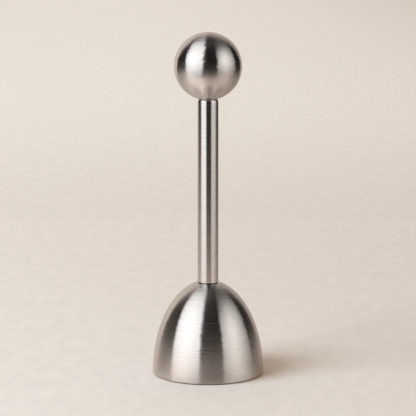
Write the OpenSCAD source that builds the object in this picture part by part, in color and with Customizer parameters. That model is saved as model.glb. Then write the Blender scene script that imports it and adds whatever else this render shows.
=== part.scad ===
// Egg topper. A bell-shaped cup stands over the end of an egg. Its tubular handle holds a
// striker on a pull rod, and lifting the ball knob compresses a spring above the striker.
// Let go, the striker hits the anvil at the handle's foot and the bell's rim rings the shell open.
// Millimetres, +Z up. The origin is the centre of the rim, on the surface that the rim stands on.

/* [Bell] */
// Outside diameter of the bell at its rim
rim_d = 37.5; // [33:0.5:46]
// Height of the flat on the bell's crown, where the handle stands
bell_h = 30.9; // [26:0.1:40]
// Thickness of the bell's drawn sheet
bell_wall = 0.9; // [0.8:0.05:1.3]
// Width of the crown's flat that shows around the handle's foot
crown_ledge = 0.6; // [0.3:0.05:1.2]
// Radius of the rim's outer edge
rim_round = 0.35; // [0.2:0.05:0.4]
// Width of the flat ring that the rim stands on
rim_land = 0.25; // [0.15:0.05:0.3]
// Height of the bevel inside the rim
rim_bevel_h = 0.8; // [0.5:0.1:1.5]

/* [Handle] */
// Outside diameter of the handle tube
tube_d = 7; // [6.8:0.1:8.6]
// Wall of the handle tube
tube_wall = 0.6; // [0.45:0.05:0.7]
// Length of the handle tube
tube_len = 62; // [56:1:90]
// Chamfer at the tube's foot
foot_chamfer = 0.3; // [0.2:0.05:0.4]
// How far the tube's top edge is rolled inwards
lip_in = 0.4; // [0.2:0.05:0.5]
// Height of that rolled edge
lip_h = 1.2; // [0.8:0.1:2]
// Length of the guide bush in the tube's top
bush_len = 8; // [5:0.5:12]

/* [Ball and rod] */
// Diameter of the ball knob
ball_d = 22.6; // [18:0.2:28]
// Diameter of the pull rod
rod_d = 3; // [2.6:0.1:3.3]
// Length of the rod's thread in the ball, and in the striker
rod_thread = 10; // [6:0.5:12]
// How far the ball lifts
travel = 14; // [8:0.5:18]
// Gap that is left under the ball while the striker rests on the anvil
strike_gap = 0.1; // [0.05:0.05:0.5]
// Chamfer at the ends of the striker, the rod, the anvil and the bush
end_chamfer = 0.3; // [0.15:0.05:0.4]

/* [Spring] */
// Diameter of the spring's wire
wire_d = 0.6; // [0.4:0.05:0.65]
// Number of the spring's turns
spring_turns = 18; // [12:1:20]
// Space that is left between the turns, in all, at full lift
bind_reserve = 1; // [0.5:0.1:2]

/* [Fastening] */
// Diameter of the screw's thread
screw_d = 3; // [2.6:0.1:3.1]
// Length of the screw under its head
screw_len = 8; // [7:0.5:12]
// Diameter of the screw's head
head_d = 6; // [5:0.1:6.4]
// Height of the screw's head
head_h = 2.4; // [2:0.1:3]
// Height of the head's straight side, under its round crown
head_side_h = 0.9; // [0.5:0.1:1.4]
// Diameter of the cross recess
recess_d = 3; // [2.4:0.1:3.6]
// Width of the cross recess's slots
recess_w = 0.8; // [0.5:0.05:1]
// Depth of the cross recess
recess_depth = 1.5; // [1:0.1:1.7]
// Ring width of the flat washer
washer_w = 1.9; // [1.5:0.05:2]
// Thickness of the flat washer
washer_t = 0.5; // [0.4:0.05:0.8]
// Ring width of the split lock washer
lock_w = 1.5; // [1.2:0.05:1.8]
// Thickness of the split lock washer
lock_t = 0.8; // [0.6:0.05:1]
// Width of the lock washer's split
lock_split = 0.5; // [0.3:0.05:0.8]
// Solid steel of the anvil plug above the screw's hole
anvil_t = 3; // [2:0.25:5]
// Depth of each blind hole beyond the thread in it
drill_extra = 1.4; // [0.8:0.1:2.5]

/* [Clearances] */
// Radial clearance of the pull rod in its bush
rod_play = 0.05; // [0.02:0.01:0.1]
// Radial clearance of the striker in the tube
striker_play = 0.15; // [0.1:0.01:0.25]
// Radial clearance of the spring in the tube
spring_play = 0.35; // [0.25:0.05:0.4]
// Gap at each end of the spring
spring_seat_gap = 0.03; // [0.02:0.01:0.1]
// Radial clearance of the pressed-in bush and plug, and of threads in their holes
fit_play = 0.02; // [0.01:0.005:0.05]
// Radial clearance of the screw in the washers and in the bell's hole
screw_play = 0.1; // [0.08:0.01:0.2]
// How far the plug is set back from the tube's foot, so that the foot bears on the bell
plug_setback = 0.2; // [0.1:0.05:0.4]

/* [Hidden] */
$fn = 96;

profile_steps = 36;      // straight steps in each of the bell's two ellipses
edge_steps = 5;          // straight steps in each small rounded edge
wire_sides = 6;          // sides of the spring's wire
turn_rings = 8;          // rings of points in each turn of the spring
spring_least_gap = 0.42; // gap between the end turns, which lie closest
slot_overcut = 0.1;      // how far a cut runs past the face that it opens

// Bell. Its outline is the ellipse that passes through the rim and through the flat's edge.
rim_r = rim_d / 2;
tube_r = tube_d / 2;
crown_r = tube_r + crown_ledge;
ellipse_h = bell_h / sqrt(1 - pow(crown_r / rim_r, 2));
inner_rim_r = rim_r - bell_wall;
inner_ellipse_h = ellipse_h - bell_wall;
inner_crown_z = bell_h - bell_wall;

// Heights of the fastening, from the bell's crown down, and of the anvil above it
washer_z = inner_crown_z - washer_t;
lock_z = washer_z - lock_t;
screw_tip_z = lock_z + screw_len;
plug_z = bell_h + plug_setback;
screw_hole_top_z = screw_tip_z + drill_extra;
anvil_z = screw_hole_top_z + anvil_t;

// Heights in the handle, where the striker fills what the spring leaves free
bore_r = tube_r - tube_wall;
tube_top_z = bell_h + tube_len;
bush_z = tube_top_z - bush_len;
spring_len = travel + spring_turns * wire_d + bind_reserve;
striker_top_z = bush_z - spring_len;
rod_z = striker_top_z - rod_thread;

// Ball, cut flat where it meets the tube's rolled edge
ball_r = ball_d / 2;
ball_flat_r = tube_r - lip_in;
ball_flat_z = tube_top_z + strike_gap;
ball_z = ball_flat_z + sqrt(pow(ball_r, 2) - pow(ball_flat_r, 2));
rod_top_z = ball_flat_z + rod_thread;

rod_r = rod_d / 2;
screw_r = screw_d / 2;
screw_hole_r = screw_r + screw_play;
press_r = bore_r - fit_play;

// Points on an ellipse about the origin, from one angle to another
function ellipse_arc(rx, ry, from, to, steps) =
    [for (i = [0:steps]) let (a = from + (to - from) * i / steps) [rx * cos(a), ry * sin(a)]];

// The same points moved by an offset
function shifted(points, by) = [for (p = points) p + by];

// Cylinder from one height to another, chamfered by the named amount at the ends that are asked for
module turned(r, z0, z1, foot = 0, top = 0) {
    rotate_extrude()
        polygon(concat(
            [[0, z0], [r - foot, z0]],
            foot > 0 ? [[r, z0 + foot]] : [],
            top > 0 ? [[r, z1 - top]] : [],
            [[r - top, z1], [0, z1]]
        ));
}

// Hole along Z that runs past the named face, countersunk there by a chamfer
module drilled(r, z0, z1, sink = 0) {
    translate([0, 0, z0 - slot_overcut])
        cylinder(r = r, h = z1 - z0 + slot_overcut);
    translate([0, 0, z0 - slot_overcut])
        cylinder(r1 = r + sink + slot_overcut, r2 = r, h = sink + slot_overcut);
}

// Flat ring about the screw
module ring(width, thickness) {
    difference() {
        cylinder(r = screw_hole_r + width, h = thickness);
        translate([0, 0, -slot_overcut])
            cylinder(r = screw_hole_r, h = thickness + 2 * slot_overcut);
    }
}

// Drawn cup with a bevelled, sharp-edged rim and a hole for the screw in its crown
module bell() {
    rim_angle = asin(rim_round / ellipse_h);
    crown_angle = acos(crown_r / rim_r);
    inner_crown_angle = asin(inner_crown_z / inner_ellipse_h);
    bevel_angle = asin(rim_bevel_h / inner_ellipse_h);
    rim_edge = shifted(
        ellipse_arc(rim_round, rim_round, -90, -90 / edge_steps, edge_steps - 1),
        [rim_r - rim_round, rim_round]
    );
    color("silver")
        rotate_extrude()
            polygon(concat(
                [[rim_r - rim_round - rim_land, 0]],
                rim_edge,
                ellipse_arc(rim_r, ellipse_h, rim_angle, crown_angle, profile_steps),
                [[screw_hole_r, bell_h], [screw_hole_r, inner_crown_z]],
                ellipse_arc(inner_rim_r, inner_ellipse_h, inner_crown_angle, bevel_angle, profile_steps)
            ));
}

// Thin tube. Its foot stands on the bell, and its top edge is rolled in over the bush.
module handle_tube() {
    color("silver")
        translate([0, 0, bell_h])
            rotate_extrude()
                polygon(concat(
                    [[bore_r, 0], [tube_r - foot_chamfer, 0], [tube_r, foot_chamfer]],
                    shifted(
                        ellipse_arc(lip_in, lip_h, 0, 90, edge_steps),
                        [tube_r - lip_in, tube_len - lip_h]
                    ),
                    [[bore_r - lip_in, tube_len], [bore_r, tube_len - lip_h]]
                ));
}

// Bush that guides the rod. The rolled edge of the tube holds its tapered top.
module guide_bush() {
    taper_z = tube_top_z - lip_h;
    guide_r = rod_r + rod_play;
    color("darkgray")
        rotate_extrude()
            polygon([
                [guide_r, bush_z + end_chamfer],
                [guide_r + end_chamfer, bush_z],
                [press_r - end_chamfer, bush_z],
                [press_r, bush_z + end_chamfer],
                [press_r, taper_z - fit_play],
                [press_r - lip_in, tube_top_z],
                [guide_r + end_chamfer, tube_top_z],
                [guide_r, tube_top_z - end_chamfer]
            ]);
}

// Solid ball with a small flat and a tapped blind hole at its foot
module ball_knob() {
    color("silver")
        difference() {
            translate([0, 0, ball_z])
                sphere(r = ball_r);
            translate([0, 0, ball_flat_z - ball_r])
                cylinder(r = ball_r, h = ball_r);
            drilled(rod_r + fit_play, ball_flat_z, rod_top_z + drill_extra, end_chamfer);
        }
}

// Rod from the striker up through the bush into the ball
module pull_rod() {
    color("gainsboro")
        turned(rod_r, rod_z, rod_top_z, end_chamfer, end_chamfer);
}

// Hammer weight on the rod's lower end. Its top face carries the spring.
module striker() {
    color("gray")
        difference() {
            turned(bore_r - striker_play, anvil_z, striker_top_z, end_chamfer, end_chamfer);
            translate([0, 0, rod_z - drill_extra])
                cylinder(r = rod_r + fit_play, h = striker_top_z - rod_z + drill_extra + slot_overcut);
        }
}

// Plug in the tube's foot. The screw pulls it down, and its top is the anvil.
module anvil_plug() {
    color("gray")
        difference() {
            turned(press_r, plug_z, anvil_z, end_chamfer, end_chamfer);
            drilled(screw_r + fit_play, plug_z, screw_hole_top_z, end_chamfer);
        }
}

// Pan-head screw with a cross recess, up through the bell's crown into the plug
module crown_screw() {
    color("lightgray")
        difference() {
            union() {
                rotate_extrude()
                    polygon(concat(
                        [[0, lock_z], [head_d / 2, lock_z]],
                        shifted(
                            ellipse_arc(head_d / 2, head_side_h - head_h, 0, 90, edge_steps),
                            [0, lock_z - head_side_h]
                        )
                    ));
                turned(screw_r, lock_z - head_side_h / 2, screw_tip_z, 0, end_chamfer);
            }
            cross_recess();
        }
}

// Tapered cross that is cut into the screw's head
module cross_recess() {
    translate([0, 0, lock_z - head_h - slot_overcut])
        intersection() {
            cylinder(r1 = recess_d / 2, r2 = recess_w / 2, h = recess_depth + slot_overcut);
            for (turn = [0, 90])
                rotate(turn)
                    translate([-recess_d / 2, -recess_w / 2, 0])
                        cube([recess_d, recess_w, recess_depth + slot_overcut]);
        }
}

// Split spring washer, pressed flat, with its slanted split
module lock_washer() {
    outer_r = screw_hole_r + lock_w;
    color("dimgray")
        translate([0, 0, lock_z])
            difference() {
                ring(lock_w, lock_t);
                translate([0, 0, lock_t / 2])
                    rotate([30, 0, 0])
                        translate([0, -lock_split / 2, -lock_t])
                            cube([outer_r + slot_overcut, lock_split, 2 * lock_t]);
            }
}

// Flat washer against the inside of the bell's crown
module flat_washer() {
    color("lightgray")
        translate([0, 0, washer_z])
            ring(washer_w, washer_t);
}

// Centre line of the spring. Its end turns lie close together, and the turns between share the rest.
coil_r = bore_r - spring_play - wire_d / 2;
coil_z = striker_top_z + spring_seat_gap + wire_d / 2;
coil_rise = spring_len - 2 * spring_seat_gap - wire_d;
end_pitch = wire_d + spring_least_gap;
mid_pitch = (coil_rise - 2 * end_pitch) / (spring_turns - 2);
function coil_height(turn) =
    turn < 1 ? end_pitch * turn
    : turn > spring_turns - 1 ? coil_rise - end_pitch * (spring_turns - turn)
    : end_pitch + mid_pitch * (turn - 1);
function coil_point(i) =
    let (turn = i / turn_rings)
    [coil_r * cos(360 * turn), coil_r * sin(360 * turn), coil_z + coil_height(turn)];
coil_rings = spring_turns * turn_rings;
coil_points = [for (i = [0:coil_rings]) coil_point(i)];

// Least gap of the wire to itself, between points that are at least half a turn apart
coil_self_gap = min([
    for (i = [0:coil_rings - turn_rings])
        for (j = [i + turn_rings / 2 : min(i + 2 * turn_rings, coil_rings)])
            norm(coil_points[j] - coil_points[i])
]) - wire_d;
echo(least_gap_of_the_spring_to_itself = coil_self_gap);

// Compression spring: one six-sided tube swept along the centre line
module return_spring() {
    rings = [
        for (i = [0:coil_rings])
            let (spin = 360 * i / turn_rings, centre = coil_points[i])
            for (k = [0:wire_sides - 1])
                let (a = 90 + 360 * k / wire_sides)
                centre + (wire_d / 2) * [cos(a) * cos(spin), cos(a) * sin(spin), sin(a)]
    ];
    last = coil_rings * wire_sides;
    caps = [for (k = [1:wire_sides - 2]) each [[0, k, k + 1], [last, last + k + 1, last + k]]];
    sides = [
        for (i = [0:coil_rings - 1])
            for (k = [0:wire_sides - 1])
                let (
                    a = i * wire_sides + k,
                    b = i * wire_sides + (k + 1) % wire_sides,
                    c = b + wire_sides,
                    d = a + wire_sides
                )
                each [[a, d, b], [b, d, c]]
    ];
    color("lightsteelblue")
        polyhedron(points = rings, faces = concat(caps, sides));
}

bell();
handle_tube();
guide_bush();
ball_knob();
pull_rod();
striker();
return_spring();
anvil_plug();
crown_screw();
lock_washer();
flat_washer();
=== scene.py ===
from math import cos, pi, radians, sin, sqrt

import bmesh
import bpy
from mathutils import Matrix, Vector


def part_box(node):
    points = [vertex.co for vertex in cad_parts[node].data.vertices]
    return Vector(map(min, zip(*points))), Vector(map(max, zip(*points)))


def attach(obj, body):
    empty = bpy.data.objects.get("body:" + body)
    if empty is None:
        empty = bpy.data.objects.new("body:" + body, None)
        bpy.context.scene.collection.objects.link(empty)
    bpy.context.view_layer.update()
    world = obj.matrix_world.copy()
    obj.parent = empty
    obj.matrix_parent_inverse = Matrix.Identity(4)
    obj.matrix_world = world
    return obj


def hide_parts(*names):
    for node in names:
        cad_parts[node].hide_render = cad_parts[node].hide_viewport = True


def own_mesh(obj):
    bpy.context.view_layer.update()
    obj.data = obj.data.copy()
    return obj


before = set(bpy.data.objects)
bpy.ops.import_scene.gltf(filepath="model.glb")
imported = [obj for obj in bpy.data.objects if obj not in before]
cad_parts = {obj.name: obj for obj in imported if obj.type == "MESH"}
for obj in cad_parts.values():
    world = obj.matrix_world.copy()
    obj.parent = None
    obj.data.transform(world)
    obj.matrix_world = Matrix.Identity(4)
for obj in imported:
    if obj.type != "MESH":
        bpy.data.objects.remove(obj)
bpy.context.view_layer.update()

MM = 0.001

# ---- The view and the studio ----
# The tool stands on a sheet of warm paper between two tall softboxes, a bright one at the left and a
# dimmer one at the right. Between them, over them and past the paper's edges the room is dark.

CAMERA_BACK, CAMERA_UP = 641.5 * MM, 164.3 * MM
CAMERA_PITCH = radians(9.56)
FOCAL_PX, PHOTO_PX, SENSOR_MM = 1942, 416, 36
FARTHEST_SEEN = 20
PAPER_COLOR = (0.84, 0.775, 0.705)
CLOUDS_PER_M, CLOUD_DEPTH_SHARE, CLOUD_TONE = 220, 0.4, 0.1
PAPER_BUMP, PAPER_BUMP_HEIGHT = 0.3, 0.05 * MM
FLOOR_SIDE = 8

camera = bpy.data.cameras.new("camera")
camera.sensor_width = SENSOR_MM
camera.lens = SENSOR_MM * FOCAL_PX / PHOTO_PX
camera.clip_end = FARTHEST_SEEN
camera_object = bpy.data.objects.new("camera", camera)
camera_object.location = (0, -CAMERA_BACK, CAMERA_UP)
camera_object.rotation_euler = (pi / 2 - CAMERA_PITCH, 0, 0)
bpy.context.scene.collection.objects.link(camera_object)
bpy.context.scene.camera = camera_object
bpy.context.scene.view_settings.view_transform = "Standard"


def new_material(name):
    """A material with its nodes, its shader and its surface's own coordinates."""
    material = bpy.data.materials.new(name)
    material.use_nodes = True
    tree = material.node_tree
    shader = tree.nodes["Principled BSDF"]
    coords = tree.nodes.new("ShaderNodeTexCoord")
    return material, tree, shader, coords


def node(tree, kind, inputs=None, **settings):
    """A node with its settings, and its inputs set to values or linked to other nodes' outputs."""
    made = tree.nodes.new("ShaderNode" + kind)
    for key, value in settings.items():
        setattr(made, key, value)
    for key, value in (inputs or {}).items():
        if isinstance(value, bpy.types.NodeSocket):
            tree.links.new(value, made.inputs[key])
        else:
            made.inputs[key].default_value = value
    return made


def paper(name, color, shade=None):
    """Matt paper with a faint cloudy tone. The clouds are long in depth, so that they look even to a
    camera that sees the paper at a slant. A shade function paints light and shade into its colour from place to
    place."""
    material, tree, shader, coords = new_material(name)
    long = node(tree, "Mapping", {"Vector": coords.outputs["Object"], "Scale": (1, CLOUD_DEPTH_SHARE, 1)})
    cloud = node(tree, "TexNoise", {"Vector": long.outputs["Vector"], "Scale": CLOUDS_PER_M, "Detail": 5,
                                    "Roughness": 0.65})
    level = node(tree, "MapRange", {"Value": cloud.outputs["Fac"], "To Min": 1 - CLOUD_TONE,
                                    "To Max": 1 + CLOUD_TONE})
    # The shade function's level is painted light and shade, multiplied into the colour.
    if shade:
        level = node(tree, "Math", {0: level.outputs["Result"], 1: shade(tree, coords)}, operation="MULTIPLY")
    color = node(tree, "VectorMath", {0: color, "Scale": level.outputs[0]}, operation="SCALE")
    tree.links.new(color.outputs["Vector"], shader.inputs["Base Color"])
    bump = node(tree, "Bump", {"Height": cloud.outputs["Fac"], "Strength": PAPER_BUMP,
                               "Distance": PAPER_BUMP_HEIGHT})
    tree.links.new(bump.outputs["Normal"], shader.inputs["Normal"])
    shader.inputs["Roughness"].default_value = 0.95
    shader.inputs["Specular IOR Level"].default_value = 0.1
    return material


def plane_of_stage(name, width, height, place, turn, material):
    """A flat rectangle of the studio with its middle at a place."""
    bpy.ops.object.select_all(action="DESELECT")
    bpy.ops.mesh.primitive_plane_add(size=1, location=place, rotation=turn)
    plane = bpy.context.object
    plane.name = name
    plane.scale = (width, height, 1)
    plane.data.materials.append(material)
    return plane


def only_mirrored(plane):
    """Only what is mirrored in the steel shows this plane."""
    plane.visible_camera = False
    plane.visible_diffuse = False
    plane.visible_shadow = False


# The floor that the camera sees runs on in every direction.
floor = plane_of_stage("floor", FLOOR_SIDE, FLOOR_SIDE, (0, 0, 0), (0, 0, 0),
                       paper("warm_paper", PAPER_COLOR))
bpy.ops.object.transform_apply(location=True, rotation=True, scale=True)
floor.visible_glossy = False
floor.visible_shadow = False

# The steel mirrors only the sheet of paper, which ends a little in front of the tool. Its painted light, as
# (place, level) pairs, is strongest at the left and in front of the tool, and falls off behind it.
SHEET_LEFT, SHEET_RIGHT, SHEET_FRONT, SHEET_BACK = -0.43, 0.35, -0.18, 0.3
SHEET_SINK = 0.01 * MM
SHEET_COLOR = (0.94, 0.815, 0.725)
ACROSS_LEVELS = [(-0.4, 0.8), (-0.25, 1.05), (-0.18, 1.17), (-0.08, 1.39), (0, 1.22), (0.03, 1.07),
                 (0.06, 1.05), (0.12, 1.15), (0.2, 1), (0.35, 0.7)]
ALONG_LEVELS = [(-0.18, 0.36), (-0.12, 0.98), (-0.07, 1), (-0.03, 0.95), (0, 0.74), (0.06, 0.67),
                (0.12, 0.6), (0.3, 0.6)]
# Round pools of painted shade and painted light about the bell's foot, each with its middle, its radius and
# its level there: painted shade where the bell stands in the light in front and at both sides, and painted
# light between these.
PAINTED_POOLS = [((0.006, -0.038, 0), 0.036, 0.25), ((-0.036, -0.036, 0), 0.032, 1.25),
         ((0.036, -0.034, 0), 0.026, 1.15), ((-0.052, 0, 0), 0.034, 0.45), ((0.05, 0, 0), 0.034, 0.5),
         ((-0.026, -0.028, 0), 0.022, 1.4), ((0.027, -0.026, 0), 0.02, 1.35)]


def level_along(tree, place, levels):
    """The level at a place on a line, from (place, level) pairs."""
    first, last = levels[0][0], levels[-1][0]
    share = node(tree, "MapRange", {"Value": place, "From Min": first, "From Max": last})
    ramp = node(tree, "ValToRGB", {0: share.outputs["Result"]})
    while len(ramp.color_ramp.elements) < len(levels):
        ramp.color_ramp.elements.new(0.5)
    for stop, (x, level) in zip(ramp.color_ramp.elements, levels):
        stop.position = (x - first) / (last - first)
        stop.color = (level, level, level, 1)
    return ramp.outputs["Color"]


def painted_sheet_level(tree, coords):
    """The painted light and shade of the mirrored sheet, as its level from place to place."""
    apart = node(tree, "SeparateXYZ", {0: coords.outputs["Object"]})
    across = level_along(tree, apart.outputs["X"], ACROSS_LEVELS)
    along = level_along(tree, apart.outputs["Y"], ALONG_LEVELS)
    whole = node(tree, "Math", {0: across, 1: along}, operation="MULTIPLY")
    # Each pool paints shade or light into the sheet's colour.
    for place, radius, level in PAINTED_POOLS:
        away = node(tree, "VectorMath", {0: coords.outputs["Object"], 1: place}, operation="DISTANCE")
        pool = node(tree, "MapRange", {"Value": away.outputs["Value"], "From Max": radius, "To Min": level,
                                       "To Max": 1}, interpolation_type="SMOOTHSTEP")
        whole = node(tree, "Math", {0: whole.outputs["Value"], 1: pool.outputs["Result"]}, operation="MULTIPLY")
    return whole.outputs["Value"]


sheet_middle = ((SHEET_LEFT + SHEET_RIGHT) / 2, (SHEET_FRONT + SHEET_BACK) / 2, -SHEET_SINK)
sheet = plane_of_stage("mirrored_paper", SHEET_RIGHT - SHEET_LEFT, SHEET_BACK - SHEET_FRONT, sheet_middle,
                       (0, 0, 0), paper("painted_light_paper", SHEET_COLOR, painted_sheet_level))
bpy.ops.object.transform_apply(location=True, rotation=True, scale=True)
only_mirrored(sheet)


# A glowing plane, which is no lamp, stands in for the sheet where it sweeps up behind the tool, and the steel
# mirrors it all along its outline. Its painted light fades from the left to the right, and is strongest
# straight behind the tool, high up.
SWEEP_LEFT, SWEEP_RIGHT, SWEEP_TOP = -0.36, 0.26, 0.49
SWEEP_GLOW_COLOR, SWEEP_BRIGHT, SWEEP_DIM = (0.84, 0.72, 0.64, 1), 1.07, 0.45
PEAK_HALF_WIDTH, PEAK_RISE, SIDE_RISE, RISE_FOOT = 0.1, 0.8, 0.15, 0.97
sweep_width = SWEEP_RIGHT - SWEEP_LEFT
glow, glow_tree, glow_shader, glow_coords = new_material("sweep_glow")
along = node(glow_tree, "SeparateXYZ", {0: glow_coords.outputs["Object"]})
fade = node(glow_tree, "MapRange", {"Value": along.outputs["X"], "From Min": -0.5, "From Max": 0.5,
                                    "To Min": SWEEP_BRIGHT, "To Max": SWEEP_DIM})
off = node(glow_tree, "Math", {0: along.outputs["X"], 1: SWEEP_LEFT / sweep_width + 0.5}, operation="ADD")
aside = node(glow_tree, "Math", {0: off.outputs["Value"]}, operation="ABSOLUTE")
peak = node(glow_tree, "MapRange", {"Value": aside.outputs["Value"], "From Max": PEAK_HALF_WIDTH / sweep_width,
                                    "To Min": PEAK_RISE, "To Max": SIDE_RISE})
rise = node(glow_tree, "MapRange", {"Value": along.outputs["Y"], "From Min": -0.5, "From Max": 0.5})
lift = node(glow_tree, "Math", {0: peak.outputs["Result"], 1: rise.outputs["Result"], 2: RISE_FOOT},
            operation="MULTIPLY_ADD")
shine = node(glow_tree, "Math", {0: fade.outputs["Result"], 1: lift.outputs["Value"]}, operation="MULTIPLY")
glow_tree.links.new(shine.outputs["Value"], glow_shader.inputs["Emission Strength"])
glow_shader.inputs["Emission Color"].default_value = SWEEP_GLOW_COLOR
glow_shader.inputs["Base Color"].default_value = (0, 0, 0, 1)
glow_shader.inputs["Specular IOR Level"].default_value = 0
sweep_middle = ((SWEEP_LEFT + SWEEP_RIGHT) / 2, SHEET_BACK, SWEEP_TOP / 2)
only_mirrored(plane_of_stage("mirrored_sweep", sweep_width, SWEEP_TOP, sweep_middle, (pi / 2, 0, 0), glow))


def lamp(name, width, height, radiance, place, color=(1, 1, 1)):
    """A soft rectangular lamp that shines straight down on the floor, and isn't mirrored."""
    light = bpy.data.lights.new(name, "AREA")
    light.shape = "RECTANGLE"
    light.size, light.size_y = width, height
    light.energy = radiance * pi * width * height
    light.color = color
    made = bpy.data.objects.new(name, light)
    made.location = place
    made.visible_camera = False
    made.visible_glossy = False
    bpy.context.scene.collection.objects.link(made)
    return made


# The floor's own light comes from the left softbox's side, and casts the soft shadow at the right.
KEY_AZIMUTH, KEY_HEIGHT, KEY_DISTANCE, KEY_SIZE = radians(-60), radians(40), 0.9, 0.6
KEY_RADIANCE, KEY_COLOR = 5.19, (1, 1.155, 1.34)
key_place = Vector((sin(KEY_AZIMUTH) * cos(KEY_HEIGHT), -cos(KEY_AZIMUTH) * cos(KEY_HEIGHT), sin(KEY_HEIGHT)))
key = lamp("key", KEY_SIZE, KEY_SIZE, KEY_RADIANCE, key_place * KEY_DISTANCE, KEY_COLOR)
key.rotation_euler = key_place.to_track_quat("Z", "Y").to_euler()

# A ceiling lamp over the far floor keeps the background even.
CEILING_WIDTH, CEILING_DEPTH, CEILING_PLACE = 1.285, 3.175, (-0.25, 2.015, 0.427)
CEILING_RADIANCE, CEILING_COLOR = 0.615, (1, 1.135, 1.273)
lamp("back_ceiling", CEILING_WIDTH, CEILING_DEPTH, CEILING_RADIANCE, CEILING_PLACE, CEILING_COLOR)

# The room is dark but for the two softboxes that the steel mirrors. Light from the walls, which is not
# mirrored, fills the shadow on the floor.
world = bpy.data.worlds.new("room")
world.use_nodes = True
world.cycles.sampling_method = "NONE"
room_tree = world.node_tree
outward = node(room_tree, "TexCoord").outputs["Generated"]
SOFT_EDGE = 0.02


def toward(azimuth, elevation):
    """The direction from the tool, with the azimuth counted to the right from the camera's side."""
    turn, rise = radians(azimuth), radians(elevation)
    return Vector((sin(turn) * cos(rise), -cos(turn) * cos(rise), sin(rise)))


def softbox(corners, hot, spread, color, radiance, dim):
    """A softbox between corners given as (azimuth, elevation). It is brightest toward its hot spot and
    dims away from it over the spread, in degrees."""
    share = None
    for corner, following in zip(corners, corners[1:] + corners[:1]):
        inward = toward(*corner).cross(toward(*following)).normalized()
        inward *= 1 if inward.dot(toward(*hot)) > 0 else -1
        inside = node(room_tree, "VectorMath", {0: outward, 1: inward}, operation="DOT_PRODUCT")
        edge = node(room_tree, "MapRange", {"Value": inside.outputs["Value"], "From Min": -SOFT_EDGE,
                                            "From Max": SOFT_EDGE})
        both = [edge.outputs["Result"], share or 1]
        share = node(room_tree, "Math", dict(enumerate(both)), operation="MULTIPLY").outputs["Value"]
    near = node(room_tree, "VectorMath", {0: outward, 1: toward(*hot)}, operation="DOT_PRODUCT")
    angle = node(room_tree, "Math", {0: near.outputs["Value"]}, operation="ARCCOSINE")
    level = node(room_tree, "MapRange", {"Value": angle.outputs["Value"], "From Max": radians(spread),
                                         "To Min": radiance, "To Max": radiance * dim})
    strength = node(room_tree, "Math", {0: share, 1: level.outputs["Result"]}, operation="MULTIPLY")
    return node(room_tree, "Background", {"Color": (*color, 1), "Strength": strength.outputs["Value"]})


def wall(color):
    """Even light from all round."""
    return node(room_tree, "Background", {"Color": (*color, 1)})


def added(*shades):
    """The sum of some light shaders."""
    total = shades[0]
    for shade in shades[1:]:
        total = node(room_tree, "AddShader", {0: total.outputs[0], 1: shade.outputs[0]})
    return total


def chosen(ray, otherwise, then):
    """One light shader for a kind of ray, and another for the rest."""
    return node(room_tree, "MixShader", {0: rays.outputs[ray], 1: otherwise.outputs[0], 2: then.outputs[0]})


LEFT_CORNERS = [(-18.5, -15), (-18.5, 63), (-45, 83), (-128, 76), (-118, 57), (-72, -15)]
RIGHT_CORNERS = [(33, -15), (35, 43), (70, 49), (110, 38), (105, -15)]
ZENITH_CORNERS = [(-45, 40), (45, 40), (135, 40), (-135, 40)]
DARK_WALL, FLOOR_FILL, SEEN_WALL = (0.006, 0.006, 0.006), (0.44, 0.352, 0.267), (0.75, 0.68, 0.61)
rays = node(room_tree, "LightPath")
mirrored_room = added(wall(DARK_WALL),
                      softbox(LEFT_CORNERS, (-55, 27), 80, (1, 1.01, 1.03), 1.92, 0.3),
                      softbox(RIGHT_CORNERS, (63, 20), 50, (1, 0.965, 0.93), 1.6, 0.1),
                      softbox(ZENITH_CORNERS, (0, 90), 45, (1, 0.93, 0.85), 0.07, 0))
for_floor = chosen("Is Diffuse Ray", mirrored_room, wall(FLOOR_FILL))
for_camera = chosen("Is Camera Ray", for_floor, wall(SEEN_WALL))
room_tree.links.new(for_camera.outputs[0], room_tree.nodes["World Output"].inputs["Surface"])
room_tree.nodes.remove(room_tree.nodes["Background"])
bpy.context.scene.world = world

# ---- Bell ----
# The bell is a cup drawn from stainless sheet. It is brushed round its axis on a lathe, its rim is
# turned to a rounded outer edge with a bevel inside, and its crown is flat where the tube stands.

BELL_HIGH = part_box("bell")[1]
RIM_R = BELL_HIGH.x
BELL_H = BELL_HIGH.z
TUBE_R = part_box("handle_tube")[1].x
CROWN_R = TUBE_R + 0.6 * MM
SCREW_HOLE_R = 1.6 * MM
BELL_WALL = 0.9 * MM
RIM_ROUND = 0.35 * MM
RIM_LAND = 0.25 * MM
EDGE_SOFT = 0.06 * MM
SIDES, BELL_RINGS, ROUND_STEPS = 192, 160, 5
DOUBLE = 0.0005 * MM
STEEL = (0.66, 0.64, 0.615)
# A painted line of shade has this dark brown colour, and is darkest over this share of its reach.
SEAM_SHADE_COLOR, SEAM_SHADE_CORE = (0.13, 0.085, 0.055), 0.6
NOISE_LOW, NOISE_HIGH = 0.25, 0.75
# The strokes' second set of rings starts elsewhere and is a little wider, and patches of the two sets
# swap over in a narrow band of the patches' noise.
OTHER_START, OTHER_FINENESS, PATCH_FINENESS, LEAN_FINENESS = 7, 0.8, 0.2, 1.2
SWAP_LOW, SWAP_HIGH = 0.42, 0.58
QUARTER_TURN = 0.25


def start(name):
    """Names the primitive that was just added, fixes its place in its mesh and opens it for editing."""
    piece = bpy.context.object
    piece.name = name
    piece.data.name = name
    bpy.ops.object.transform_apply(location=True, rotation=True, scale=True)
    bpy.ops.object.mode_set(mode="EDIT")
    bpy.ops.mesh.select_all(action="SELECT")
    return piece


def cut(place, normal, **what):
    """Cuts what is selected along a plane, and takes points within 0.1 micrometres to lie on it."""
    bpy.ops.mesh.bisect(plane_co=place, plane_no=normal, threshold=0.0001 * MM, **what)


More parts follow.
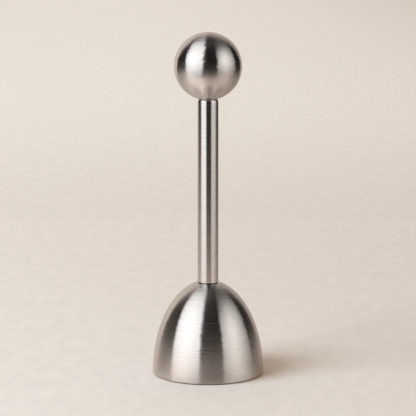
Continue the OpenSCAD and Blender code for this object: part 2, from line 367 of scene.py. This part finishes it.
def pick(piece, kind, test):
    """Selects the verts, edges or faces whose corners all pass the test."""
    modes = ("verts", "edges", "faces")
    bpy.context.tool_settings.mesh_select_mode = [kind == mode for mode in modes]
    bpy.ops.mesh.select_all(action="DESELECT")
    mesh = bmesh.from_edit_mesh(piece.data)
    for element in getattr(mesh, kind):
        corners = [element] if kind == "verts" else element.verts
        element.select_set(all(test(corner.co) for corner in corners))
    mesh.select_flush_mode()
    bmesh.update_edit_mesh(piece.data)


def at_height(z, tolerance=0.002 * MM):
    """A test for points at one height."""
    return lambda point: abs(point.z - z) < tolerance


def ring_at(radius, z, tolerance=0.01 * MM):
    """A test for points on one ring about the axis."""
    return lambda point: abs(point.z - z) < tolerance and abs(point.xy.length - radius) < tolerance


def use_modifier(piece, kind, **settings):
    """Adds a modifier with its settings and applies it."""
    modifier = piece.modifiers.new(kind.lower(), kind)
    for key, value in settings.items():
        setattr(modifier, key, value)
    bpy.ops.object.modifier_apply(modifier=modifier.name)


def close_piece(piece, smooth_angle=radians(32)):
    """Merges doubles, turns every face outwards and shades the piece smooth between its sharp edges."""
    bpy.ops.mesh.select_all(action="SELECT")
    bpy.ops.mesh.remove_doubles(threshold=DOUBLE)
    bpy.ops.mesh.normals_make_consistent(inside=False)
    bpy.ops.object.mode_set(mode="OBJECT")
    bpy.ops.object.shade_smooth_by_angle(angle=smooth_angle)


def fit(piece, steel, body, cad_node):
    """Gives the piece its steel, lets it move with a body and take the place of its CAD node."""
    piece.data.materials.append(steel)
    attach(piece, body)
    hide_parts(cad_node)


def brushed_steel(name, color, smooth, rough, contrast, stroke, waver, depth, seam_shade=None):
    """Stainless steel brushed round the Z axis. The strokes, of a (length, width), are fine rings that
    differ in gloss and tone, begin and end along the way round, and lean a little sideways. They smear
    what the steel mirrors along Z and keep it sharp around Z.
    A seam of (height, reach) is a dark line of painted shade, for the shadow that falls at that height."""
    material, tree, shader, coords = new_material(name)
    length, width = stroke

    def noise(start, along, across):
        """Noise that changes along the way round and across the strokes, so many times a metre."""
        place = node(tree, "Mapping", {"Vector": coords.outputs["Object"], "Location": (start, 0, 0),
                                       "Scale": (along, along, across)})
        made = node(tree, "TexNoise", {"Vector": place.outputs["Vector"], "Scale": 1, "Detail": 2})
        return made.outputs["Fac"]

    rings, other_rings = noise(0, 0, 1 / width), noise(OTHER_START, 0, OTHER_FINENESS / width)
    patches, leans = noise(0, 1 / length, PATCH_FINENESS / width), noise(0, LEAN_FINENESS / length, 1 / width)
    swap = node(tree, "MapRange", {"Value": patches, "From Min": SWAP_LOW, "From Max": SWAP_HIGH})
    both = node(tree, "Mix", {"Factor": swap.outputs["Result"], "A": rings, "B": other_rings})
    level = {"Value": both.outputs["Result"], "From Min": NOISE_LOW, "From Max": NOISE_HIGH}
    gloss = node(tree, "MapRange", {**level, "To Min": smooth, "To Max": rough})
    tree.links.new(gloss.outputs["Result"], shader.inputs["Roughness"])
    tone = node(tree, "MapRange", {**level, "To Min": 1 - contrast, "To Max": 1 + contrast})
    # A dark line of painted shade at the given height.
    if seam_shade:
        height = node(tree, "SeparateXYZ", {0: coords.outputs["Object"]})
        away = node(tree, "Math", {0: height.outputs["Z"], 1: seam_shade[0]}, operation="SUBTRACT")
        apart = node(tree, "Math", {0: away.outputs["Value"]}, operation="ABSOLUTE")
        unshaded = node(tree, "MapRange", {"Value": apart.outputs["Value"], "From Min": seam_shade[1] * SEAM_SHADE_CORE,
                                        "From Max": seam_shade[1]})
        color = node(tree, "Mix", {"Factor": unshaded.outputs["Result"], "A": SEAM_SHADE_COLOR, "B": color},
                     data_type="VECTOR").outputs["Result"]
    shade = node(tree, "VectorMath", {0: color, "Scale": tone.outputs["Result"]}, operation="SCALE")
    tree.links.new(shade.outputs["Vector"], shader.inputs["Base Color"])
    around = node(tree, "Tangent", direction_type="RADIAL", axis="Z")
    lean = node(tree, "MapRange", {"Value": leans, "To Min": -waver, "To Max": waver})
    sideways = node(tree, "VectorMath", {0: around.outputs["Tangent"], "Scale": lean.outputs["Result"]},
                    operation="SCALE")
    bump = node(tree, "Bump", {"Height": both.outputs["Result"], "Strength": 1, "Distance": depth})
    tilted = node(tree, "VectorMath", {0: bump.outputs["Normal"], 1: sideways.outputs["Vector"]})
    normal = node(tree, "VectorMath", {0: tilted.outputs["Vector"]}, operation="NORMALIZE")
    tree.links.new(normal.outputs["Vector"], shader.inputs["Normal"])
    tree.links.new(around.outputs["Tangent"], shader.inputs["Tangent"])
    shader.inputs["Metallic"].default_value = 1
    shader.inputs["Anisotropic"].default_value = 1
    shader.inputs["Anisotropic Rotation"].default_value = QUARTER_TURN
    return material


ELLIPSE_H = BELL_H / sqrt(1 - (CROWN_R / RIM_R) ** 2)
bpy.ops.object.select_all(action="DESELECT")
bpy.ops.mesh.primitive_uv_sphere_add(segments=SIDES, ring_count=BELL_RINGS, radius=RIM_R)
bell = start("bell_shell")
bpy.ops.transform.resize(value=(1, 1, ELLIPSE_H / RIM_R))
cut((0, 0, 0), (0, 0, -1), clear_outer=True)
bpy.ops.mesh.select_all(action="SELECT")
cut((0, 0, BELL_H), (0, 0, 1), clear_outer=True)
pick(bell, "edges", at_height(BELL_H))
bpy.ops.mesh.extrude_edges_move()
shrink = SCREW_HOLE_R / CROWN_R
bpy.ops.transform.resize(value=(shrink, shrink, 1), center_override=(0, 0, BELL_H))
bpy.ops.mesh.select_all(action="SELECT")
bpy.ops.mesh.normals_make_consistent(inside=False)
bpy.ops.object.mode_set(mode="OBJECT")
use_modifier(bell, "SOLIDIFY", thickness=BELL_WALL, offset=-1, use_even_offset=True)
bpy.ops.object.mode_set(mode="EDIT")
pick(bell, "verts", at_height(0, 0.02 * MM))
bpy.ops.transform.resize(value=(1, 1, 0), center_override=(0, 0, 0))
pick(bell, "edges", ring_at(RIM_R, 0))
bpy.ops.mesh.bevel(offset=RIM_ROUND, segments=ROUND_STEPS, affect="EDGES")
INNER_RIM_R = RIM_R - BELL_WALL
BEVEL_R = RIM_R - RIM_ROUND - RIM_LAND
pick(bell, "verts", ring_at(INNER_RIM_R, 0, 0.03 * MM))
bpy.ops.transform.resize(value=(BEVEL_R / INNER_RIM_R, BEVEL_R / INNER_RIM_R, 1), center_override=(0, 0, 0))
pick(bell, "edges", ring_at(BEVEL_R, 0, 0.03 * MM))
bpy.ops.mesh.bevel(offset=EDGE_SOFT, segments=2, affect="EDGES")
pick(bell, "edges", ring_at(CROWN_R, BELL_H))
bpy.ops.mesh.bevel(offset=3 * EDGE_SOFT, segments=3, affect="EDGES")
close_piece(bell)
# Painted shade: a dark line along the rim's foot, where the bell meets the floor.
bell_steel = brushed_steel("bell_steel", STEEL, 0.188, 0.297, 0.13, (2.5 * MM, 0.3 * MM), 0.05, 0.0007 * MM,
                           (0, 0.4 * MM))
fit(bell, bell_steel, "handle", "bell")

# ---- Flat washer ----
# A plain stainless washer lies against the inside of the crown. It is stamped from sheet, which rolls
# its upper edge over, and it is tumbled with the other fasteners.

WASHER_LOW, WASHER_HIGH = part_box("flat_washer")
WASHER_R = WASHER_HIGH.x
DIE_ROLL = 0.12 * MM
BURR = 0.03 * MM
SMALL_SIDES = 96
MARK_SHARE, MARK_FINENESS, TUMBLED_TONE = 0.25, 0.6, 0.15
MIDDLE_LOW, MIDDLE_HIGH = 0.3, 0.7


def draw_to(last, radius, z):
    """Extrudes the selected ring of edges to a new radius and height, one step of a turned profile."""
    bpy.ops.mesh.extrude_edges_move(TRANSFORM_OT_translate={"value": (0, 0, z - last[1])})
    grow = radius / last[0]
    bpy.ops.transform.resize(value=(grow, grow, 1), center_override=(0, 0, z))
    return radius, z


def turned(name, profile, sides=SMALL_SIDES, closed=True):
    """A piece turned about the Z axis along a profile of (radius, height) points. A closed profile makes a
    ring, and an open one a solid whose two ends are filled."""
    bpy.ops.object.select_all(action="DESELECT")
    radius, z = profile[0]
    bpy.ops.mesh.primitive_circle_add(vertices=sides, radius=radius, location=(0, 0, z))
    piece = start(name)
    last = profile[0]
    for point in profile[1:] + (profile[:1] if closed else []):
        last = draw_to(last, *point)
    bpy.ops.mesh.select_all(action="SELECT")
    bpy.ops.mesh.remove_doubles(threshold=DOUBLE)
    if not closed:
        bpy.ops.mesh.fill_holes(sides=0)
    return piece


def tumbled_steel(name, color, smooth, rough, grain, depth):
    """Stainless steel that was tumbled bright, with faint dents and small marks in every direction."""
    material, tree, shader, coords = new_material(name)
    dents = node(tree, "TexNoise", {"Vector": coords.outputs["Object"], "Scale": 1 / grain, "Detail": 5,
                                    "Roughness": 0.65})
    marks = node(tree, "TexVoronoi", {"Vector": coords.outputs["Object"], "Scale": MARK_FINENESS / grain},
                 feature="DISTANCE_TO_EDGE")
    mixed = node(tree, "Mix", {"Factor": MARK_SHARE, "A": dents.outputs["Fac"], "B": marks.outputs["Distance"]})
    gloss = node(tree, "MapRange", {"Value": dents.outputs["Fac"], "From Min": MIDDLE_LOW,
                                    "From Max": MIDDLE_HIGH, "To Min": smooth, "To Max": rough})
    tree.links.new(gloss.outputs["Result"], shader.inputs["Roughness"])
    tone = node(tree, "MapRange", {"Value": mixed.outputs["Result"], "To Min": 1 - TUMBLED_TONE,
                                   "To Max": 1 + TUMBLED_TONE})
    shade = node(tree, "VectorMath", {0: color, "Scale": tone.outputs["Result"]}, operation="SCALE")
    tree.links.new(shade.outputs["Vector"], shader.inputs["Base Color"])
    bump = node(tree, "Bump", {"Height": mixed.outputs["Result"], "Strength": 1, "Distance": depth})
    tree.links.new(bump.outputs["Normal"], shader.inputs["Normal"])
    shader.inputs["Metallic"].default_value = 1
    return material


washer = turned("flat_washer_ring", [
    (SCREW_HOLE_R, WASHER_LOW.z), (WASHER_R - BURR, WASHER_LOW.z), (WASHER_R, WASHER_LOW.z + BURR),
    (WASHER_R, WASHER_HIGH.z - DIE_ROLL), (WASHER_R - DIE_ROLL / 4, WASHER_HIGH.z - DIE_ROLL / 3),
    (WASHER_R - DIE_ROLL, WASHER_HIGH.z), (SCREW_HOLE_R + DIE_ROLL / 2, WASHER_HIGH.z),
    (SCREW_HOLE_R, WASHER_HIGH.z - DIE_ROLL / 2)])
close_piece(washer)
fastener_steel = tumbled_steel("fastener_steel", (0.6, 0.59, 0.57), 0.22, 0.34, 0.35 * MM, 0.006 * MM)
fit(washer, fastener_steel, "handle", "flat_washer")

# ---- Lock washer ----
# A spring washer keeps the screw from working loose. It is a turn of square-edged steel wire with
# slanted ends, and the tightened screw presses it flat.

LOCK_LOW, LOCK_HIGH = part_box("lock_washer")
LOCK_R = abs(LOCK_LOW.x)
LOCK_EDGE = 0.08 * MM
SPLIT, SPLIT_SLANT = 0.5 * MM, radians(30)

lock = turned("lock_washer_ring", [
    (SCREW_HOLE_R, LOCK_LOW.z + LOCK_EDGE), (SCREW_HOLE_R + LOCK_EDGE, LOCK_LOW.z),
    (LOCK_R - LOCK_EDGE, LOCK_LOW.z), (LOCK_R, LOCK_LOW.z + LOCK_EDGE),
    (LOCK_R, LOCK_HIGH.z - LOCK_EDGE), (LOCK_R - LOCK_EDGE, LOCK_HIGH.z),
    (SCREW_HOLE_R + LOCK_EDGE, LOCK_HIGH.z), (SCREW_HOLE_R, LOCK_HIGH.z - LOCK_EDGE)])
split_normal = Vector((0, cos(SPLIT_SLANT), sin(SPLIT_SLANT)))
split_middle = Vector((0, 0, (LOCK_LOW.z + LOCK_HIGH.z) / 2))
for side in (-1, 1):
    pick(lock, "faces", lambda point: point.x > 0)
    cut(split_middle + split_normal * side * SPLIT / 2, split_normal)
pick(lock, "faces", lambda point: point.x > 0 and
     abs((point - split_middle).dot(split_normal)) < SPLIT / 2 + EDGE_SOFT / 10)
bpy.ops.mesh.delete(type="FACE")
bpy.ops.mesh.select_all(action="SELECT")
bpy.ops.mesh.fill_holes(sides=0)
close_piece(lock)
fit(lock, fastener_steel, "handle", "lock_washer")

# ---- Crown screw ----
# A pan-head machine screw holds the handle from inside the bell. Its head and its cross recess are
# formed cold, and its thread is rolled.

SCREW_LOW, SCREW_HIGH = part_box("crown_screw")
HEAD_R = SCREW_HIGH.x
HEAD_TOP = LOCK_LOW.z
HEAD_SIDE_H, HEAD_STEPS = 0.9 * MM, 16
THREAD_R, THREAD_PITCH, THREAD_DEPTH = 1.5 * MM, 0.5 * MM, 0.28 * MM
THREAD_SIDES, CREST_SHARE, FLANK_SHARE = 32, 0.15, 0.35
TIP_H, TIP_SHARE = 0.25 * MM, 0.8
RECESS_R, RECESS_W, RECESS_DEPTH, RECESS_TAPER = 1.5 * MM, 0.8 * MM, 1.5 * MM, 0.9


def quarter(radius, z, reach, rise, steps):
    """Points of a quarter ellipse that starts upright at (radius, z) and ends level, reach further in."""
    turns = [pi / 2 * step / steps for step in range(steps + 1)]
    return [(radius - reach + reach * cos(turn), z + rise * sin(turn)) for turn in turns]


def thread(name, low, high):
    """A rolled thread about the Z axis, cut level at both ends, with a narrower tip at each."""
    turns = round((high - low) / THREAD_PITCH) + 2
    flank = THREAD_PITCH * FLANK_SHARE
    land = THREAD_PITCH * CREST_SHARE
    bpy.ops.object.select_all(action="DESELECT")
    bpy.ops.mesh.primitive_plane_add(size=THREAD_R, location=(THREAD_R - THREAD_DEPTH, 0, low - THREAD_PITCH))
    piece = start(name)
    bpy.ops.mesh.merge(type="CENTER")
    pick(piece, "verts", lambda point: True)
    for step in ((THREAD_DEPTH, flank), (0, land), (-THREAD_DEPTH, flank), (0, land)):
        bpy.ops.mesh.extrude_vertices_move(TRANSFORM_OT_translate={"value": (step[0], 0, step[1])})
    bpy.ops.object.mode_set(mode="OBJECT")
    use_modifier(piece, "SCREW", axis="Z", screw_offset=THREAD_PITCH, iterations=turns, steps=THREAD_SIDES,
                 render_steps=THREAD_SIDES, use_merge_vertices=True, merge_threshold=DOUBLE)
    bpy.ops.object.mode_set(mode="EDIT")
    bpy.ops.mesh.select_all(action="SELECT")
    bpy.ops.mesh.remove_doubles(threshold=DOUBLE)
    for z, out in ((low + TIP_H, -1), (high - TIP_H, 1)):
        bpy.ops.mesh.select_all(action="SELECT")
        cut((0, 0, z), (0, 0, out), clear_outer=True, use_fill=True)
        pick(piece, "faces", at_height(z))
        bpy.ops.mesh.extrude_region_move(TRANSFORM_OT_translate={"value": (0, 0, out * TIP_H)})
        bpy.ops.transform.resize(value=(TIP_SHARE, TIP_SHARE, 1), center_override=(0, 0, z))
    close_piece(piece, radians(20))
    return piece


def join_pieces(piece, *others):
    """Makes the other pieces' meshes part of the first."""
    bpy.ops.object.select_all(action="DESELECT")
    for one in (piece, *others):
        one.select_set(True)
    bpy.context.view_layer.objects.active = piece
    bpy.ops.object.join()


screw_thread = thread("screw_thread", HEAD_TOP - TIP_H, SCREW_HIGH.z)
side_z = HEAD_TOP - HEAD_SIDE_H
crown = [(radius, 2 * side_z - z)
         for radius, z in quarter(HEAD_R, side_z, HEAD_R, side_z - SCREW_LOW.z, HEAD_STEPS)[:-1]]
screw = turned("crown_screw_head", [
    (THREAD_R / 2, HEAD_TOP), (HEAD_R - EDGE_SOFT, HEAD_TOP), (HEAD_R, HEAD_TOP - EDGE_SOFT), *crown],
    closed=False)
close_piece(screw)
for across in ((RECESS_R, RECESS_W / 2), (RECESS_W / 2, RECESS_R)):
    bpy.ops.object.select_all(action="DESELECT")
    half = RECESS_DEPTH / 2 + EDGE_SOFT
    recess_end = SCREW_LOW.z + RECESS_DEPTH
    bpy.ops.mesh.primitive_cube_add(size=2, location=(0, 0, recess_end - half), scale=(*across, half))
    slot = start("recess_slot")
    pick(slot, "faces", at_height(recess_end))
    narrow = [RECESS_TAPER if half == RECESS_W / 2 else RECESS_W / 2 / RECESS_R for half in across]
    bpy.ops.transform.resize(value=(*narrow, 1), center_override=(0, 0, recess_end))
    bpy.ops.object.mode_set(mode="OBJECT")
    bpy.context.view_layer.objects.active = screw
    use_modifier(screw, "BOOLEAN", object=slot, operation="DIFFERENCE", solver="EXACT")
    bpy.data.objects.remove(slot)
join_pieces(screw, screw_thread)
fit(screw, fastener_steel, "handle", "crown_screw")

# ---- Anvil plug ----
# The plug is turned from stainless bar and pressed into the tube's foot. The screw pulls it down from
# a tapped blind hole, and the striker lands on its flat top.

PLUG_LOW, PLUG_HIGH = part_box("anvil_plug")
PLUG_R = PLUG_HIGH.x
CHAMFER = 0.3 * MM
FIT = 0.02 * MM
PLUG_HOLE_TOP = SCREW_HIGH.z + 1.4 * MM
DRILL_POINT = 0.6
POINT_R = 0.02 * MM
CHATTER_SHARE, CHATTER_FINENESS, TURNED_TONE = 0.4, 0.4, 0.1


def turned_steel(name, color, feed, smooth, rough, depth):
    """Steel with the fine rings that a lathe tool leaves, one for each feed of the tool, on its sides and
    on its ends alike."""
    material, tree, shader, coords = new_material(name)
    flat = node(tree, "VectorMath", {0: coords.outputs["Object"], 1: (1, 1, 0)}, operation="MULTIPLY")
    radius = node(tree, "VectorMath", {0: flat.outputs["Vector"]}, operation="LENGTH")
    height = node(tree, "SeparateXYZ", {0: coords.outputs["Object"]})
    path = node(tree, "Math", {0: radius.outputs["Value"], 1: height.outputs["Z"]}, operation="ADD")
    turns = node(tree, "Math", {0: path.outputs["Value"], 1: 2 * pi / feed}, operation="MULTIPLY")
    groove = node(tree, "Math", {0: turns.outputs["Value"]}, operation="SINE")
    chatter = node(tree, "TexNoise", {"Vector": coords.outputs["Object"], "Scale": CHATTER_FINENESS / feed,
                                      "Detail": 3})
    ridge = node(tree, "MapRange", {"Value": groove.outputs["Value"], "From Min": -1, "To Min": MIDDLE_LOW,
                                    "To Max": MIDDLE_HIGH})
    mixed = node(tree, "Mix", {"Factor": CHATTER_SHARE, "A": ridge.outputs["Result"],
                               "B": chatter.outputs["Fac"]})
    middle = {"From Min": MIDDLE_LOW, "From Max": MIDDLE_HIGH}
    gloss = node(tree, "MapRange", {"Value": chatter.outputs["Fac"], **middle, "To Min": smooth,
                                    "To Max": rough})
    tree.links.new(gloss.outputs["Result"], shader.inputs["Roughness"])
    tone = node(tree, "MapRange", {"Value": mixed.outputs["Result"], **middle, "To Min": 1 - TURNED_TONE,
                                   "To Max": 1 + TURNED_TONE})
    shade = node(tree, "VectorMath", {0: color, "Scale": tone.outputs["Result"]}, operation="SCALE")
    tree.links.new(shade.outputs["Vector"], shader.inputs["Base Color"])
    bump = node(tree, "Bump", {"Height": mixed.outputs["Result"], "Strength": 1, "Distance": depth})
    tree.links.new(bump.outputs["Normal"], shader.inputs["Normal"])
    shader.inputs["Metallic"].default_value = 1
    return material


plug = turned("anvil_plug_body", [
    (POINT_R, PLUG_HOLE_TOP + DRILL_POINT * (THREAD_R + FIT)), (THREAD_R + FIT, PLUG_HOLE_TOP),
    (THREAD_R + FIT, PLUG_LOW.z + CHAMFER), (THREAD_R + FIT + CHAMFER, PLUG_LOW.z),
    (PLUG_R - CHAMFER, PLUG_LOW.z), (PLUG_R, PLUG_LOW.z + CHAMFER),
    (PLUG_R, PLUG_HIGH.z - CHAMFER), (PLUG_R - CHAMFER, PLUG_HIGH.z), (POINT_R, PLUG_HIGH.z)], closed=False)
close_piece(plug)
lathe_steel = turned_steel("turned_steel", (0.52, 0.51, 0.5), 0.12 * MM, 0.24, 0.36, 0.003 * MM)
fit(plug, lathe_steel, "handle", "anvil_plug")

# ---- Handle tube ----
# The handle is a length of thin stainless tube, brushed like the bell. Its foot is chamfered and
# stands on the crown, and its top edge is rolled in over the guide bush.

TUBE_LOW, TUBE_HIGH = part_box("handle_tube")
TUBE_WALL = 0.6 * MM
BORE_R = TUBE_R - TUBE_WALL
FOOT_CHAMFER = 0.3 * MM
LIP_IN, LIP_H = 0.4 * MM, 1.2 * MM
LIP_STEPS = 8

tube = turned("tube_shell", [
    (BORE_R, TUBE_LOW.z), (TUBE_R - FOOT_CHAMFER, TUBE_LOW.z), (TUBE_R, TUBE_LOW.z + FOOT_CHAMFER),
    *quarter(TUBE_R, TUBE_HIGH.z - LIP_H, LIP_IN, LIP_H, LIP_STEPS),
    (BORE_R - LIP_IN, TUBE_HIGH.z), (BORE_R, TUBE_HIGH.z - LIP_H)], sides=SIDES)
close_piece(tube)
# Painted shade: a dark line in the crease at the tube's foot, where it stands on the crown.
tube_steel = brushed_steel("tube_steel", STEEL, 0.164, 0.194, 0.11, (4 * MM, 0.46 * MM), 0.042, 0.002 * MM,
                           (TUBE_LOW.z, 0.35 * MM))
fit(tube, tube_steel, "handle", "handle_tube")

# ---- Striker ----
# The striker is the hammer weight, turned from stainless bar. It is screwed on the rod's lower end,
# and the spring drives its flat foot on to the anvil.

STRIKER_LOW, STRIKER_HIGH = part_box("striker")
STRIKER_R = STRIKER_HIGH.x
ROD_LOW, ROD_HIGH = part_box("pull_rod")
DRILL_EXTRA = 1.4 * MM

striker = turned("striker_body", [
    (POINT_R, STRIKER_LOW.z), (STRIKER_R - CHAMFER, STRIKER_LOW.z), (STRIKER_R, STRIKER_LOW.z + CHAMFER),
    (STRIKER_R, STRIKER_HIGH.z - CHAMFER), (STRIKER_R - CHAMFER, STRIKER_HIGH.z),
    (THREAD_R + FIT, STRIKER_HIGH.z), (THREAD_R + FIT, ROD_LOW.z - DRILL_EXTRA),
    (POINT_R, ROD_LOW.z - DRILL_EXTRA - DRILL_POINT * (THREAD_R + FIT))], closed=False)
close_piece(striker)
fit(striker, lathe_steel, "plunger", "striker")

# ---- Pull rod ----
# The rod is 3 mm ground stainless bar that slides in the guide bush. A rolled thread at its lower end
# holds the striker, and one at its upper end holds the ball.

ROD_R = ROD_HIGH.x
THREAD_LEN = 10 * MM

rod = turned("rod_body", [
    (ROD_R - CHAMFER, ROD_LOW.z + THREAD_LEN), (ROD_R, ROD_LOW.z + THREAD_LEN + CHAMFER),
    (ROD_R, ROD_HIGH.z - THREAD_LEN - CHAMFER), (ROD_R - CHAMFER, ROD_HIGH.z - THREAD_LEN)], closed=False)
close_piece(rod)
join_pieces(rod, thread("rod_foot_thread", ROD_LOW.z, ROD_LOW.z + THREAD_LEN + TIP_H),
            thread("rod_head_thread", ROD_HIGH.z - THREAD_LEN - TIP_H, ROD_HIGH.z))
rod_steel = brushed_steel("rod_steel", (0.62, 0.61, 0.59), 0.14, 0.2, 0.04, (3 * MM, 0.1 * MM), 0.03,
                          0.001 * MM)
fit(rod, rod_steel, "plunger", "pull_rod")

# ---- Return spring ----
# The spring is coiled from hard-drawn stainless wire, with its end turns closed and ground flat. It
# pushes the striker down, and is squeezed against the guide bush as the ball is lifted.

SPRING_LOW, SPRING_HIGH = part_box("return_spring")
WIRE_R = 0.3 * MM
COIL_R = SPRING_HIGH.x - WIRE_R
COIL_TURNS, TURN_STEPS, WIRE_SIDES = 18, 28, 14
CLOSED_PITCH = 0.62 * MM
GROUND = 0.2 * MM
WIRE_JOIN = 0.005 * MM
coil_rise = SPRING_HIGH.z - SPRING_LOW.z - 2 * (WIRE_R - GROUND)
OPEN_PITCH = (coil_rise - 2 * CLOSED_PITCH) / (COIL_TURNS - 2)


def coil(name, z, pitch, turns):
    """Some turns of the spring's wire, which start at a height and rise by the pitch at each turn."""
    bpy.ops.object.select_all(action="DESELECT")
    bpy.ops.mesh.primitive_circle_add(vertices=WIRE_SIDES, radius=WIRE_R, location=(COIL_R, 0, z),
                                      rotation=(pi / 2, 0, 0))
    piece = start(name)
    bpy.ops.object.mode_set(mode="OBJECT")
    use_modifier(piece, "SCREW", axis="Z", screw_offset=pitch, iterations=turns, steps=TURN_STEPS,
                 render_steps=TURN_STEPS, use_merge_vertices=False)
    return piece


first_z = SPRING_LOW.z + WIRE_R - GROUND
spring = coil("return_spring_coil", first_z, CLOSED_PITCH, 1)
join_pieces(spring, coil("open_turns", first_z + CLOSED_PITCH, OPEN_PITCH, COIL_TURNS - 2),
            coil("last_turn", first_z + coil_rise - CLOSED_PITCH, CLOSED_PITCH, 1))
bpy.ops.object.mode_set(mode="EDIT")
bpy.ops.mesh.select_all(action="SELECT")
bpy.ops.mesh.remove_doubles(threshold=WIRE_JOIN)
bpy.ops.mesh.fill_holes(sides=0)
for z, out in ((SPRING_LOW.z, -1), (SPRING_HIGH.z, 1)):
    bpy.ops.mesh.select_all(action="SELECT")
    cut((0, 0, z), (0, 0, out), clear_outer=True, use_fill=True)
close_piece(spring, radians(50))
spring_steel = brushed_steel("spring_wire", (0.45, 0.44, 0.43), 0.24, 0.34, 0.1, (2 * MM, 0.06 * MM), 0.03,
                             0.002 * MM)
fit(spring, spring_steel, "handle", "return_spring")
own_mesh(spring)

# ---- Guide bush ----
# The bush is turned from stainless bar and pressed into the tube's top. It guides the rod and stops the
# spring, and the tube's rolled edge holds its tapered end.

BUSH_LOW, BUSH_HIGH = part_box("guide_bush")
BUSH_R = BUSH_HIGH.x
ROD_PLAY = 0.05 * MM
GUIDE_R = ROD_R + ROD_PLAY

bush = turned("guide_bush_body", [
    (GUIDE_R, BUSH_LOW.z + CHAMFER), (GUIDE_R + CHAMFER, BUSH_LOW.z), (BUSH_R - CHAMFER, BUSH_LOW.z),
    (BUSH_R, BUSH_LOW.z + CHAMFER), (BUSH_R, TUBE_HIGH.z - LIP_H - FIT), (BUSH_R - LIP_IN, BUSH_HIGH.z),
    (GUIDE_R + CHAMFER, BUSH_HIGH.z), (GUIDE_R, BUSH_HIGH.z - CHAMFER)])
close_piece(bush)
fit(bush, lathe_steel, "handle", "guide_bush")

# ---- Ball knob ----
# The knob is a solid ball of stainless steel, polished and then lightly brushed round its axis. A
# small flat at its foot meets the tube's rolled edge, and its tapped hole is screwed on the rod.

BALL_LOW, BALL_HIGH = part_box("ball_knob")
BALL_R = BALL_HIGH.x
ball_z = BALL_HIGH.z - BALL_R
BALL_HOLE_TOP = ROD_HIGH.z + DRILL_EXTRA
BALL_RINGS = 96

bpy.ops.object.select_all(action="DESELECT")
bpy.ops.mesh.primitive_uv_sphere_add(segments=SIDES, ring_count=BALL_RINGS, radius=BALL_R,
                                     location=(0, 0, ball_z))
ball = start("ball_shell")
cut((0, 0, BALL_LOW.z), (0, 0, -1), clear_outer=True)
pick(ball, "edges", at_height(BALL_LOW.z))
flat_r = sqrt(BALL_R ** 2 - (ball_z - BALL_LOW.z) ** 2)
last = (flat_r, BALL_LOW.z)
for point in ((THREAD_R + FIT + CHAMFER, BALL_LOW.z), (THREAD_R + FIT, BALL_LOW.z + CHAMFER),
              (THREAD_R + FIT, BALL_HOLE_TOP), (POINT_R, BALL_HOLE_TOP + DRILL_POINT * (THREAD_R + FIT))):
    last = draw_to(last, *point)
bpy.ops.mesh.select_all(action="SELECT")
bpy.ops.mesh.fill_holes(sides=0)
pick(ball, "edges", ring_at(flat_r, BALL_LOW.z))
bpy.ops.mesh.bevel(offset=EDGE_SOFT, segments=2, affect="EDGES")
close_piece(ball)
ball_steel = brushed_steel("ball_steel", STEEL, 0.168, 0.292, 0.15, (2.5 * MM, 0.36 * MM), 0.105, 0.0008 * MM)
fit(ball, ball_steel, "plunger", "ball_knob")
